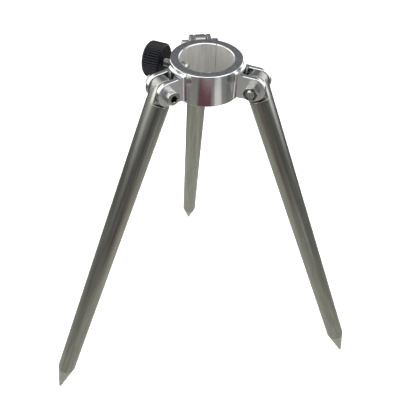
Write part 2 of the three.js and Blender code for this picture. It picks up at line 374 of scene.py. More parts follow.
def copied(shape):
    """Another loose object with the same solid."""
    other = shape.copy()
    other.data = shape.data.copy()
    bpy.context.scene.collection.objects.link(other)
    return other


# ---- finishing a piece ----
def finished(shape, name, body, place, nodes, materials, pick=None, crease=30):
    """A solid made into a piece: shaded, painted, laid on its place and set to ride on its body.

    pick gives the number of a face's material from its centre and normal, in millimetres.
    """
    shape.name = name
    mesh = shape.data
    mesh.name = name
    mesh.materials.clear()
    for material in materials:
        mesh.materials.append(material)
    for face in mesh.polygons:
        face.material_index = pick(face.center, face.normal) if pick else 0
    mesh.shade_smooth()
    mesh.set_sharp_from_angle(angle=radians(crease))
    mesh.transform(Matrix.Scale(MM, 4))
    even = shape.modifiers.new("even", "WEIGHTED_NORMAL")
    even.keep_sharp = True
    shape.matrix_world = place
    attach(shape, body)
    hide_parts(*nodes)
    return shape


# ---- shaders ----
class Value:
    """A shader socket that can be used in a sum, with other sockets or with plain numbers."""

    def __init__(self, shader, socket):
        self.shader = shader
        self.socket = socket

    def maths(self, operation, *terms):
        """A Math node on these terms, as the value it gives."""
        return self.shader.node("ShaderNodeMath", {"operation": operation}, dict(enumerate(terms)))

    def __add__(self, other):
        return self.maths("ADD", self, other)

    def __mul__(self, other):
        return self.maths("MULTIPLY", self, other)

    def __sub__(self, other):
        return self.maths("SUBTRACT", self, other)

    def __rsub__(self, other):
        return self.maths("SUBTRACT", other, self)

    def __pow__(self, other):
        return self.maths("POWER", self, other)

    __radd__ = __add__
    __rmul__ = __mul__

    def sine(self):
        """The sine of the value, in radians."""
        return self.maths("SINE", self)


class Shader:
    """A material that is one metal, plastic or paint, and the nodes that vary it."""

    def __init__(self, name, **constants):
        self.material = bpy.data.materials.new(name)
        self.material.use_nodes = True
        self.tree = self.material.node_tree
        self.surface = next(n for n in self.tree.nodes if n.type == "BSDF_PRINCIPLED")
        for socket, value in constants.items():
            self.feed(self.surface.inputs[socket.replace("_", " ")], value)

    def feed(self, socket, value):
        """Links a value to a socket, or sets the socket to a number or colour."""
        if isinstance(value, Value):
            self.tree.links.new(value.socket, socket)
        elif socket.type == "RGBA":
            socket.default_value = (*value[:3], 1)
        else:
            socket.default_value = value

    def node(self, kind, options=None, inputs=None, output=0):
        """A node of this kind, its options set first and then its sockets, as the value it gives."""
        made = self.tree.nodes.new(kind)
        for option, value in (options or {}).items():
            setattr(made, option, value)
        for socket, value in (inputs or {}).items():
            self.feed(made.inputs[socket], value)
        return Value(self, made.outputs[output])

    def here(self):
        """Where a point is in its object's own frame, in the object's units."""
        return self.node("ShaderNodeTexCoord", output="Object")

    def place(self):
        """Where a point of a finished piece is, in millimetres in the piece's own frame."""
        scale = {0: self.here(), "Scale": 1 / MM}
        return self.node("ShaderNodeVectorMath", {"operation": "SCALE"}, scale)

    def away(self, vector):
        """How far a point is from the Z axis."""
        x, y, _ = self.parts(vector)
        return (x * x + y * y) ** 0.5

    def parts(self, vector):
        """The three parts of a vector."""
        split = self.node("ShaderNodeSeparateXYZ", inputs={0: vector})
        return [Value(self, output) for output in split.socket.node.outputs]

    def vector(self, x, y, z):
        """A vector of three values."""
        return self.node("ShaderNodeCombineXYZ", inputs={0: x, 1: y, 2: z})

    def noise(self, vector, scale, detail=2.0, roughness=0.5):
        """Soft noise from 0 to 1."""
        sizes = {"Vector": vector, "Scale": scale, "Detail": detail, "Roughness": roughness}
        return self.node("ShaderNodeTexNoise", {"noise_dimensions": "3D"}, sizes)

    def between(self, amount, low, high):
        """low where the amount is 0 and high where it is 1, for numbers."""
        return amount * (high - low) + low

    def blend(self, amount, first, second):
        """first where the amount is 0 and second where it is 1, for colours."""
        sockets = {"Factor": amount, 6: first, 7: second}
        return self.node("ShaderNodeMix", {"data_type": "RGBA"}, sockets, output=2)

    def step(self, value, low, high):
        """0 below low, 1 above high and a soft step between."""
        ends = {"Value": value, "From Min": low, "From Max": high}
        return self.node("ShaderNodeMapRange", {"interpolation_type": "SMOOTHSTEP"}, ends)

    def relief(self, height, depth_mm):
        """Bumps whose height of 1 stands this many millimetres proud."""
        sockets = {"Strength": 1.0, "Distance": depth_mm * MM, "Height": height}
        return self.node("ShaderNodeBump", inputs=sockets)

    def finish(self, **links):
        """Links what varies to the surface and gives the material."""
        for socket, value in links.items():
            self.feed(self.surface.inputs[socket.replace("_", " ")], value)
        return self.material


# how far a lathe tool moves in one turn of the ring
FEED_MM = 0.3


def darker(shade, share):
    """A colour times a share. A share above 1 makes it lighter."""
    return tuple(part * share for part in shade)


def metal_shader(name):
    """The start of every metal."""
    return Shader(name, Metallic=1.0)


def polished_metal(name, shade, dull=0.11):
    """Machined and buffed aluminium: fine level lines round it, faint smears and a few specks."""
    shader = metal_shader(name)
    place = shader.place()
    x, y, z = shader.parts(place)
    lines = shader.noise(shader.vector(x * 0.08, y * 0.08, z * 6), 1.0, 3.0, 0.65)
    smears = shader.noise(place, 0.12, 3.0, 0.6)
    specks = shader.step(shader.noise(place, 3.0, 4.0, 0.7), 0.62, 0.72)
    tone = shader.blend(smears * 0.5 + specks * 0.25, shade, darker(shade, 0.82))
    gloss = shader.between(lines, dull - 0.05, dull + 0.07) + smears * 0.05
    relief = shader.relief(lines + specks * 0.15, 0.006)
    return shader.finish(Base_Color=tone, Roughness=gloss, Normal=relief)


def brushed_metal(name, shade, dull=0.38):
    """Aluminium brushed level: fine scratches along the sides of the lugs."""
    shader = metal_shader(name)
    place = shader.place()
    x, y, z = shader.parts(place)
    fine = shader.noise(shader.vector(x * 0.25, y * 0.25, z * 9), 1.0, 3.0, 0.7)
    broad = shader.noise(shader.vector(x * 0.1, y * 0.1, z * 1.6), 1.0, 2.0, 0.6)
    tone = shader.blend(fine * 0.6 + broad * 0.4, darker(shade, 1.15), darker(shade, 0.82))
    gloss = shader.between(fine, dull - 0.06, dull + 0.1)
    relief = shader.relief(fine + broad * 0.4, 0.012)
    return shader.finish(Base_Color=tone, Roughness=gloss, Normal=relief)


def faced_metal(name, shade, dull=0.30):
    """Metal faced in a lathe: close concentric grooves about the bore, and light stains."""
    shader = metal_shader(name)
    place = shader.place()
    radius = shader.away(place)
    grooves = shader.noise(shader.vector(radius * 3.2, 0.0, 0.0), 1.0, 4.0, 0.8)
    ridges = (radius * (2 * pi / FEED_MM)).sine() * 0.5 + 0.5
    stains = shader.noise(place, 0.55, 4.0, 0.7)
    grit = shader.noise(place, 2.2, 3.0, 0.7)
    tone = shader.blend(shader.step(stains, 0.38, 0.62), darker(shade, 1.25), darker(shade, 0.66))
    tone = shader.blend(shader.step(grooves, 0.4, 0.6) * 0.4 + grit * 0.2, tone, darker(shade, 1.45))
    gloss = shader.between(stains, dull - 0.04, dull + 0.1)
    relief = shader.relief(grooves + ridges * 0.3 + grit * 0.2, 0.014)
    return shader.finish(Base_Color=tone, Roughness=gloss, Normal=relief)


def bored_metal(name, shade, dull=0.5):
    """The bore's wall: a fine feed spiral, with broad soft rub marks where poles have slid."""
    shader = metal_shader(name)
    place = shader.place()
    x, y, z = shader.parts(place)
    spiral = ((z + shader.noise(place, 0.3, 1.0) * 0.4) * (2 * pi / FEED_MM)).sine() * 0.5 + 0.5
    rubs = shader.step(shader.noise(shader.vector(x, y, z * 0.12), 0.32, 2.0, 0.5), 0.35, 0.65)
    hairs = shader.noise(shader.vector(x, y, z * 0.06), 2.2, 3.0, 0.6)
    # away from the rubs the tone is lifted 1.05 times: painted light
    tone = shader.blend(rubs * 0.6 + hairs * 0.3, darker(shade, 1.05), darker(shade, 0.76))
    gloss = shader.between(rubs, dull - 0.05, dull + 0.12)
    relief = shader.relief(spiral * 0.5 + hairs * 0.25, 0.004)
    return shader.finish(Base_Color=tone, Roughness=gloss, Normal=relief)


def drawn_metal(name, shade, dull=0.24):
    """Bar as drawn: long streaks down its length, dull patches, small nicks."""
    shader = metal_shader(name)
    place = shader.place()
    x, y, z = shader.parts(place)
    broad = shader.noise(shader.vector(x * 0.55, y * 0.55, z * 0.012), 1.0, 3.0, 0.65)
    fine = shader.noise(shader.vector(x * 3, y * 3, z * 0.05), 1.0, 3.0, 0.7)
    patches = shader.noise(shader.vector(x * 0.25, y * 0.25, z * 0.05), 1.0, 4.0, 0.65)
    nicks = shader.step(shader.noise(shader.vector(x, y, z * 0.6), 0.9, 4.0, 0.75), 0.62, 0.72)
    tone = shader.blend(shader.step(broad, 0.32, 0.68), darker(shade, 0.76), darker(shade, 1.26))
    tone = shader.blend(fine * 0.5, tone, darker(shade, 0.8))
    tone = shader.blend(shader.step(patches, 0.4, 0.65) * 0.4, tone, darker(shade, 0.72))
    tone = shader.blend(nicks * 0.4, tone, darker(shade, 1.6))
    gloss = shader.between(broad, dull - 0.05, dull + 0.1) + patches * 0.08
    relief = shader.relief(broad * 0.4 + fine * 0.5 - nicks * 0.4, 0.018)
    return shader.finish(Base_Color=tone, Roughness=gloss, Normal=relief)


def turned_metal(name, shade, pitch=0.25, dull=0.26):
    """Metal turned about the piece's own Z: a feed mark every turn and brighter ridges."""
    shader = metal_shader(name)
    place = shader.place()
    z = shader.parts(place)[2]
    waver = shader.noise(place, 0.8, 2.0) * 0.25
    ridges = ((z + waver * pitch) * (2 * pi / pitch)).sine() * 0.5 + 0.5
    wear = shader.noise(place, 0.6, 4.0, 0.6)
    tone = shader.blend(ridges * 0.3 + wear * 0.4, darker(shade, 1.1), darker(shade, 0.78))
    gloss = shader.between(wear, dull - 0.07, dull + 0.1)
    relief = shader.relief(ridges * 0.5 + wear * 0.3, 0.012)
    return shader.finish(Base_Color=tone, Roughness=gloss, Normal=relief)


def stainless_metal(name, shade, dull=0.2):
    """Bright cold-headed screw steel with faint grain and handling marks."""
    shader = metal_shader(name)
    place = shader.place()
    grain = shader.noise(place, 6.0, 4.0, 0.7)
    marks = shader.noise(place, 0.9, 3.0, 0.6)
    tone = shader.blend(marks, darker(shade, 1.08), darker(shade, 0.72))
    gloss = shader.between(marks, dull - 0.06, dull + 0.12) + grain * 0.04
    relief = shader.relief(grain * 0.6 + marks * 0.4, 0.012)
    return shader.finish(Base_Color=tone, Roughness=gloss, Normal=relief)


def moulded_plastic(name, shade, dull=0.27):
    """Moulded plastic: a fine spark-eroded grain with rubbed, shinier high spots."""
    shader = Shader(name, Metallic=0.0, IOR=1.5, Specular_IOR_Level=0.3)
    place = shader.place()
    grain = shader.noise(place, 3.2, 4.0, 0.7)
    rubbed = shader.noise(place, 0.25, 3.0, 0.55)
    dust = shader.step(shader.noise(place, 1.6, 4.0, 0.8), 0.6, 0.75)
    tone = shader.blend(dust * 0.4, shade, tuple(part * 1.6 + 0.008 for part in shade))
    gloss = shader.between(rubbed, dull - 0.08, dull + 0.12)
    return shader.finish(Base_Color=tone, Roughness=gloss, Normal=shader.relief(grain, 0.012))


def pressed_fibre(name, shade):
    """Washer fibre: matt, with short flecks."""
    shader = Shader(name, Metallic=0.0)
    place = shader.place()
    x, y, z = shader.parts(place)
    flecks = shader.noise(shader.vector(x * 4, y * 1.2, z * 4), 1.0, 4.0, 0.7)
    tone = shader.blend(flecks, shade, tuple(part * 2 + 0.015 for part in shade))
    return shader.finish(Base_Color=tone, Roughness=shader.between(flecks, 0.6, 0.8),
                         Normal=shader.relief(flecks, 0.03))


# ---- collar ----
ROOT_OVERLAP = 3
COVE_RADIUS, COVE_OVERLAP = 2, 0.3
EAR_EDGE, EAR_OVERLAP = 0.55, 1
SLOT_FLOOR, SLOT_CORNER = 8.2, 1.5
PIVOT_HOLE = 5.3
STUD_HOLE, STUD_HOLE_FLARE = 5.2, 1
LINER_FIT = 0.02
BORE_EDGE, RIM_EDGE = 0.15, 0.14
# a face counts as facing a way from this much of its normal along it
FACING, SQUARE_ON = 0.9, 0.97
# the liner's slit, and the chamfer and edges of its ends
SLIT_AZIMUTH, SLIT_WIDTH = 60.7, 0.7
LINER_LEAD, LINER_EDGE = 0.42, 0.05
LINER_HOLE = 6


def collar_sizes(context):
    """The collar's sizes in millimetres."""
    own = settings(context).collar
    names = ("diameter", "height", "pole_bore", "sleeve_wall", "rim", "ear_radius",
             "lug_width", "slot_width", "root_fillet")
    return {name: getattr(own, name) / MM for name in names}


def ring_body(size):
    """The collar's plain ring, its outer rims chamfered and its bore's rims just broken."""
    outer, half = size["diameter"] / 2, size["height"] / 2
    inner = size["pole_bore"] / 2 + size["sleeve_wall"] + LINER_FIT
    rim = size["rim"]
    corners = [(inner, half, BORE_EDGE), (inner, -half, BORE_EDGE), (outer - rim, -half, RIM_EDGE),
               (outer, rim - half, RIM_EDGE), (outer, half - rim, RIM_EDGE),
               (outer - rim, half, RIM_EDGE)]
    profile = rounded(corners, closed=True, steps=3)
    return turned(profile + profile[:1], RING_SIDES)


def root_outline(size, radius):
    """Plan of a lug's root: its sides flare into the ring by an upright fillet."""
    fillet, offset = size["root_fillet"], size["lug_width"] / 2 + size["root_fillet"]
    centre_x = sqrt((radius + fillet) ** 2 - offset ** 2)
    wall = degrees(atan2(offset, centre_x))
    inside = radius - ROOT_OVERLAP
    upper = arc((centre_x, offset), fillet, 270, 180 + wall, 10)
    floor = PIVOT_RADIUS - SLOT_FLOOR + SLOT_CORNER
    half = [(floor, size["lug_width"] / 2)] + upper + [(inside, upper[-1][1])]
    return [(x, -y) for x, y in half] + [(x, y) for x, y in reversed(half)]


def ear(size):
    """One ear of a fork, its rims rounded, standing from Y = 0 outward by the ear's thickness."""
    radius = size["ear_radius"]
    thickness = (size["lug_width"] - size["slot_width"]) / 2
    start = PIVOT_RADIUS - SLOT_FLOOR - EAR_OVERLAP
    outline = [(start, radius), (start, -radius)] + arc((PIVOT_RADIUS, 0), radius, -90, 90, 40)
    flat = eased(prism(outline, 0, thickness), EAR_EDGE, 4)
    return moved(flat, Matrix.Rotation(pi / 2, 4, "X") @ Matrix.Translation((0, 0, -thickness)))


def lug(size):
    """A lug before its holes are drilled: root, two ears and the coves above and below."""
    radius, height = size["ear_radius"], size["height"] / 2
    outer, half_slot = size["diameter"] / 2, size["slot_width"] / 2
    root = prism(root_outline(size, outer), -radius, radius)
    shelf, inside, crest = radius - COVE_OVERLAP, outer - 1, radius + COVE_RADIUS
    hollow = arc((outer + COVE_RADIUS, crest), COVE_RADIUS, 270, 180, 8)
    section = [(inside, shelf), (outer + COVE_RADIUS, shelf)] + hollow + [(inside, crest)]
    cove = turned(section + section[:1], RING_SIDES)
    cove = combined(cove, "INTERSECT", prism(root_outline(size, outer), shelf - 1, height))
    lower = moved(copied(cove), Matrix.Rotation(pi, 4, "X"))
    near = moved(ear(size), Matrix.Translation((0, half_slot, 0)))
    far = moved(copied(near), Matrix.Rotation(pi, 4, "X"))
    return combined(root, "UNION", near, far, cove, lower)


def slot_cutter(size):
    """The gap between two ears, its floor's corners rounded."""
    half, floor = size["slot_width"] / 2, PIVOT_RADIUS - SLOT_FLOOR
    beyond = PIVOT_RADIUS + size["ear_radius"] + 1
    corners = [(beyond, -half, 0), (beyond, half, 0), (floor, half, SLOT_CORNER),
               (floor, -half, SLOT_CORNER)]
    return prism(rounded(corners, closed=True, steps=6), -size["height"], size["height"])


def paint_collar(size):
    """Picks a collar face's metal: buffed; faced on top, with painted shade; bored, with painted light;
    or brushed on a lug's cheeks, with painted light.
    """
    half = size["height"] / 2 - 0.1
    bore = size["pole_bore"] / 2 + size["sleeve_wall"] + 0.5
    cheek, past_ring = size["lug_width"] / 2 - 0.1, size["diameter"] / 2 + 0.5
    cheeks = [Vector((-sin(radians(a)), cos(radians(a)), 0)) for a in LUG_AZIMUTHS.values()]

    def pick(centre, normal):
        radius = sqrt(centre.x ** 2 + centre.y ** 2)
        if abs(normal.z) > FACING and abs(centre.z) > half:
            return 1
        if radius < bore and abs(centre.z) < half:
            return 2
        beside = any(abs(normal.dot(way)) > SQUARE_ON and abs(centre.dot(way)) > cheek
                     for way in cheeks)
        return 3 if beside and radius > past_ring else 0
    return pick


class TRIPOD_OT_collar(bpy.types.Operator):
    """Make the collar: a turned ring with three forked lugs"""

    bl_idname = "tripod.collar"
    bl_label = "Collar"

    def execute(self, context):
        size = collar_sizes(context)
        own = settings(context).collar
        body = ring_body(size)
        blank = lug(size)
        lugs = [around(copied(blank), angle) for angle in LUG_AZIMUTHS.values()]
        bpy.data.objects.remove(blank)
        body = combined(body, "UNION", *lugs)
        cutters = []
        for angle in LUG_AZIMUTHS.values():
            cutters.append(around(slot_cutter(size), angle))
            hole = along_y(rod(PIVOT_HOLE / 2, -size["lug_width"], size["lug_width"]))
            cutters.append(around(moved(hole, Matrix.Translation((PIVOT_RADIUS, 0, 0))), angle))
        outer, hole = size["diameter"] / 2, STUD_HOLE / 2
        start, mouth = outer / 2 - 1, outer + 0.55
        flare = turned([(0, start), (hole, start), (hole, mouth - STUD_HOLE_FLARE),
                        (hole + STUD_HOLE_FLARE, mouth), (0, mouth)], HOLE_SIDES)
        cutters.append(around(along_x(flare), CLAMP_AZIMUTH))
        body = combined(body, "DIFFERENCE", *cutters)
        metals = [polished_metal("buffed aluminium", own.metal),
                  # the faced ends are far darker than the wall: painted shade
                  faced_metal("faced ends painted shade", own.faced_metal),
                  # the bore is lighter than the wall: painted light
                  bored_metal("bore painted light", own.bore_metal),
                  # the cheeks' aluminium is 1.15 times the wall's: painted light on the lug's sides
                  brushed_metal("lug cheeks painted light", darker(own.metal, 1.15))]
        finished(body, "turned_collar", "head", COLLAR_PLACE, ["collar"],
                 metals, paint_collar(size))
        return {"FINISHED"}


class TRIPOD_OT_liner(bpy.types.Operator):
    """Make the thin split liner in the bore"""

    bl_idname = "tripod.liner"
    bl_label = "Bore liner"

    def execute(self, context):
        size = collar_sizes(context)
        own = settings(context).collar
        inner, half = size["pole_bore"] / 2, size["height"] / 2
        outer = inner + size["sleeve_wall"]
        lead, soft = LINER_LEAD, LINER_EDGE
        profile = rounded([(inner, lead - half, soft), (inner + lead, -half, soft), (outer, -half, soft),
                           (outer, half, soft), (inner + lead, half, soft), (inner, half - lead, soft)],
                          closed=True, steps=2)
        liner = turned(profile + profile[:1], RING_SIDES)
        side, past = SLIT_WIDTH / 2, outer + 2
        slit = prism([(0, -side), (past, -side), (past, side), (0, side)], -2 * half, 2 * half)
        hole = along_x(rod(LINER_HOLE / 2, 5, outer + 5))
        liner = combined(liner, "DIFFERENCE", around(slit, SLIT_AZIMUTH),
                         around(hole, CLAMP_AZIMUTH))

        def pick(centre, normal):
            return 1 if abs(centre.z) > half - LINER_LEAD else 0
        # the liner's wall takes the lighter bore aluminium: painted light
        metals = [bored_metal("liner wall", own.bore_metal),
                  polished_metal("liner rim", own.metal, 0.14)]
        finished(liner, "split_liner", "head", COLLAR_PLACE, ["pole_sleeve"],
                 metals, pick)
        return {"FINISHED"}


# ---- legs ----
SHOULDER, SHOULDER_EDGE = 8.2, 0.35
TONGUE_RADIUS, TONGUE_EDGE, TONGUE_INSET = 7.3, 0.4, 0.03


def leg_solid(own):
    """A leg with its pivot at the origin and its bar running down along Z."""
    radius, reach = own.diameter / 2 / MM, own.reach / MM
    tip, cone, thick = own.point_radius / MM, own.point_length / MM, own.tongue / MM
    slope = atan2(radius - tip, cone - tip)
    top = cone - reach
    shank = arc((0, tip - reach), tip, -90, -degrees(slope), 8)
    shank += [(radius - 0.02, top - 0.05), (radius, top + 0.05)]
    shank += rounded([(radius, top + 1, 0), (radius, -SHOULDER, SHOULDER_EDGE),
                      (0, -SHOULDER, 0)], steps=3)
    bar = turned(shank, BAR_SIDES)
    root = -SHOULDER - 1
    outline = arc((0, 0), TONGUE_RADIUS, 0, 180, 40)
    outline += [(-TONGUE_RADIUS, root), (TONGUE_RADIUS, root)]
    tongue = eased(prism(outline, -thick / 2, thick / 2), TONGUE_EDGE, 3)
    tongue = moved(tongue, Matrix.Rotation(pi / 2, 4, "X"))
    round_bar = rod(radius - TONGUE_INSET, -SHOULDER - 2, radius + 2, BAR_SIDES)
    tongue = combined(tongue, "INTERSECT", round_bar)
    hole = along_y(rod(PIVOT_HOLE / 2, -radius, radius))
    return combined(combined(bar, "UNION", tongue), "DIFFERENCE", hole)


class TRIPOD_OT_legs(bpy.types.Operator):
    """Make the three pointed legs"""

    bl_idname = "tripod.legs"
    bl_label = "Legs"

    def execute(self, context):
        own = settings(context).legs
        metals = [drawn_metal("drawn steel bar", own.metal),
                  turned_metal("turned steel point", own.turned_metal),
                  polished_metal("milled steel tongue", own.turned_metal, 0.22)]
        point_top = (own.point_length - own.reach) / MM

        def pick(centre, normal):
            if centre.z < point_top:
                return 1
            return 2 if centre.z > -SHOULDER - 0.2 else 0
        blank = leg_solid(own)
        for side in SIDES:
            finished(copied(blank), f"{side}_leg_bar", f"{side}_leg", leg_place(side),
                     [f"leg_{side}"], metals, pick)
        bpy.data.objects.remove(blank)
        return {"FINISHED"}


# ---- hinge screws, nuts and washers ----
SCREW_LENGTH, THREAD_START = 19.7, 12.2
HEAD_FOOT_EDGE, HEAD_TOP_EDGE = 0.25, 0.6
# faces in the hex socket within this radius get near black steel: painted shade in the recess
SOCKET_WIDTH, SOCKET_DEPTH, SHADED_SOCKET_RADIUS = 4, 2.5, 2.45
# thread: its depth as a share of the pitch, rings of points in a pitch, bevel on its ends
THREAD_DEPTH, THREAD_RINGS, THREAD_BEVEL = 0.54, 8, 0.5
NUT_BEVEL, NUT_CORNER_DROP, NUT_TURN = 0.16, 0.42, 11
NYLON_INNER, NYLON_OUTER, NYLON_EDGE = 2.58, 3.2, 0.2
WASHER_INNER, WASHER_OUTER, WASHER_HALF = 2.7, 6.8, 0.2
SEAT_GAP = 0.03


def hexagon(width):
    """A hexagon of this width across its flats."""
    return arc((0, 0), width / sqrt(3), 0, 300, 5)


def threaded(radius, low, high, pitch):
    """A threaded rod along Z, its ends bevelled below the thread's root."""
    depth = pitch * THREAD_DEPTH
    steps = int((high - low) / pitch * THREAD_RINGS)

    def reach(r, z, angle):
        if r == 0:
            return 0
        phase = (z / pitch - angle / (2 * pi)) % 1
        crest = 1 - min(1, max(0, (abs(phase - 0.5) * 2 - 0.1) / 0.8))
        thread = radius - depth + depth * crest
        inset = max(0, THREAD_BEVEL - (z - low), THREAD_BEVEL - (high - z))
        return min(thread, radius - inset)
    heights = [low + (high - low) * i / steps for i in range(steps + 1)]
    return turned([(0, low)] + [(radius, z) for z in heights] + [(0, high)], HOLE_SIDES, reach)


def cap_screw(own):
    """Socket head cap screw, bearing on Z = 0, its head up and its shank down."""
    radius, height = own.head_diameter / 2 / MM, own.head_height / MM
    shank = own.thread / 2 / MM
    head = turned(rounded([(0, 0, 0), (radius, 0, HEAD_FOOT_EDGE), (radius, height, HEAD_TOP_EDGE),
                           (0, height, 0)]), BAR_SIDES)
    mouth, floor = SOCKET_WIDTH / sqrt(3), height - SOCKET_DEPTH
    socket = prism(hexagon(SOCKET_WIDTH), floor, height + 1)
    drill = turned([(0, floor - 1), (SOCKET_WIDTH / 2, floor + 0.2), (0, floor + 0.2)], HOLE_SIDES)
    lead = turned([(0, height - 1), (mouth - 0.7, height - 0.55), (mouth + 0.25, height + 0.4),
                   (0, height + 0.4)], HOLE_SIDES)
    head = combined(head, "DIFFERENCE", socket, drill, lead)
    end = -THREAD_START - 0.2
    plain = turned([(0, end), (shank - 0.4, end), (shank, end + 0.4), (shank, 0.5), (0, 0.5)],
                   HOLE_SIDES)
    thread = threaded(shank, -SCREW_LENGTH, -THREAD_START, own.pitch / MM)
    return combined(head, "UNION", plain, thread)


def lock_nut(own):
    """Lock nut: a bevelled hexagon with turned corners, its bore widened for the nylon ring."""
    width, height, bevel = own.nut_width / MM, own.nut_height / MM, NUT_BEVEL
    corner, past, floor = width / sqrt(3), height + 1, height - 1.2
    layers = [(0, bevel), (bevel, 0), (height - bevel, 0), (height, bevel)]
    body = stacked([(hexagon(width - 2 * inset), level) for level, inset in layers])
    tops = [(0, 0), (width / 2 - 0.1, 0), (corner, NUT_CORNER_DROP),
            (corner, height - NUT_CORNER_DROP), (width / 2 - 0.06, height), (0, height)]
    body = combined(body, "INTERSECT", turned(tops, BAR_SIDES))
    bore = turned([(0, -1), (2.95, -1), (2.6, 0.35), (2.6, past), (0, past)], NUT_SIDES)
    seat = turned(rounded([(0, floor, 0), (3.25, floor, 0), (3.25, height - 0.15, 0.1),
                           (3.4, height, 0), (3.4, past, 0), (0, past, 0)]), NUT_SIDES)
    return combined(body, "DIFFERENCE", bore, seat)


def nylon_ring(height):
    """The ring pressed into the outer end of a lock nut of this height."""
    low, inner, outer, edge = height - 1.1, NYLON_INNER, NYLON_OUTER, NYLON_EDGE
    section = rounded([(inner, low, edge / 2), (outer, low, edge / 2), (outer, height - 0.42, edge),
                       (inner, height - 0.5, edge)], closed=True)
    return turned(section + section[:1], NUT_SIDES)


def washer_ring():
    """A thin washer with its edges broken."""
    inner, outer, half = WASHER_INNER, WASHER_OUTER, WASHER_HALF
    section = rounded([(inner, half, 0.08), (inner, -half, 0.08), (outer, -half, 0.12),
                       (outer, half, 0.12)], closed=True)
    return turned(section + section[:1], WASHER_SIDES)


class TRIPOD_OT_hinge_hardware(bpy.types.Operator):
    """Make the hinge screws with their lock nuts, nylon rings and washers"""

    bl_idname = "tripod.hinge_hardware"
    bl_label = "Hinge hardware"

    def execute(self, context):
        own = settings(context).hardware
        lug_side = settings(context).collar.lug_width / 2 / MM
        slot = settings(context).collar.slot_width / MM
        tongue = settings(context).legs.tongue / MM
        steel = [stainless_metal("screw steel", own.metal),
                 # near black steel: painted shade in the screw's socket
                 stainless_metal("screw socket painted shade", darker(own.metal, 0.05), 0.5),
                 # dark steel: painted shade on the nut's outer end face
                 stainless_metal("nut end painted shade", darker(own.metal, 0.2), 0.34)]
        nut_steel = [stainless_metal("nut steel", darker(own.metal, 0.72))] + steel[1:]
        nylon = [moulded_plastic("nut nylon", own.nylon, 0.45)]
        fibre = [pressed_fibre("washer fibre", own.fibre)]
        height = own.nut_height / MM
        seat = lug_side + SEAT_GAP
        screw = along_y(moved(cap_screw(own), Matrix.Translation((0, 0, seat))))
        face = Matrix.Translation((0, -seat, 0)) @ Matrix.Rotation(pi / 2, 4, "X")
        face = face @ Matrix.Rotation(radians(NUT_TURN), 4, "Z")
        nut = moved(lock_nut(own), face)
        ring = moved(nylon_ring(height), face)
        washer = along_y(washer_ring())
        gap = (tongue + slot) / 4
        recess_top = lug_side + own.head_height / MM - 0.25

        # faces deep in the hex socket get the near black steel: painted shade
        def pick(centre, normal):
            deep = lug_side + 1 < centre.y < recess_top
            return 1 if deep and sqrt(centre.x ** 2 + centre.z ** 2) < SHADED_SOCKET_RADIUS else 0
        # the nut's outer end face gets steel at 0.2 of the screw's shade: painted shade
        crown_face = 0.3 - lug_side - height

        def crown(centre, normal):
            return 2 if centre.y < crown_face and normal.y < -0.95 else 0
        for side in SIDES:
            place = lug_place(side)
            finished(copied(screw), f"{side}_cap_screw", "head", place,
                     [f"hinge_bolt_{side}"], steel, pick)
            finished(copied(nut), f"{side}_nut_body", "head", place,
                     [f"lock_nut_{side}"], nut_steel, crown)
            finished(copied(ring), f"{side}_nylon_insert", "head", place,
                     [f"nut_ring_{side}"], nylon)
            for letter, y in (("a", gap), ("b", -gap)):
                shape = moved(copied(washer), Matrix.Translation((0, y, 0)))
                finished(shape, f"{side}_fibre_washer_{letter}", "head", place,
                         [f"friction_washer_{side}_{letter}"], fibre)
        for shape in (screw, nut, ring, washer):
            bpy.data.objects.remove(shape)
        return {"FINISHED"}


# ---- clamp, along Z outward from the bore's axis ----
PAD_FRONT, PAD_FACE, PAD_RADIUS, PAD_DOME = 11.7, 13.7, 2.45, 8
STEM_RADIUS, STEM_LENGTH = 1.05, 1.8
STUD_TIP, STUD_END, STUD_SOCKET = 13.8, 35, 1.25
STUD_HEAD_RADIUS, STUD_HEAD_LENGTH = 4, 4
KNOB_FACE, KNOB_HOLE, KNOB_DISH = 28, 2.6, 0.7
FLUTE_POINTS = 10


class TRIPOD_OT_clamp_screw(bpy.types.Operator):
    """Make the threaded clamp stud and the pad on its end"""

    bl_idname = "tripod.clamp_screw"
    bl_label = "Clamp screw and pad"

    def execute(self, context):
        own = settings(context).hardware
        # the stud's steel is 0.6 of the screw steel: painted shade in the gap between the knob and the
        # collar
        steel = [stainless_metal("stud painted shade steel", darker(own.metal, 0.6), 0.14)]
        pad_steel = [turned_metal("pad steel", darker(own.metal, 1.1), 0.2, 0.2)]
        below_head, wide = STUD_END - STUD_HEAD_LENGTH, STUD_HEAD_RADIUS
        stud = threaded(own.thread / 2 / MM, STUD_TIP, below_head, own.pitch / MM)
        head = turned(rounded([(0, below_head - 0.2, 0), (wide, below_head - 0.2, 0.3),
                               (wide, STUD_END, 0.4), (0, STUD_END, 0)]), NUT_SIDES)
        socket = rod(STUD_SOCKET, STUD_TIP - 1, STUD_TIP + 2, SOCKET_SIDES)
        stud = combined(combined(stud, "UNION", head), "DIFFERENCE", socket)
        finished(stud, "threaded_stud", "clamp_screw", clamp_place(),
                 ["clamp_stud"], steel)
        stem_end = PAD_FACE + STEM_LENGTH
        dome = arc((0, PAD_FRONT + PAD_DOME), PAD_DOME, -90, -74, 5)
        rim = rounded([(2.3, PAD_FRONT + 0.31, 0), (PAD_RADIUS, PAD_FRONT + 0.5, 0),
                       (PAD_RADIUS, PAD_FACE, 0.2), (STEM_RADIUS, PAD_FACE, 0),
                       (STEM_RADIUS, stem_end, 0.2), (0, stem_end, 0)])
        pad = turned(dome + rim, NUT_SIDES)
        finished(pad, "swivel_pad", "clamp_foot", clamp_place(), ["clamp_pad"],
                 pad_steel)
        return {"FINISHED"}


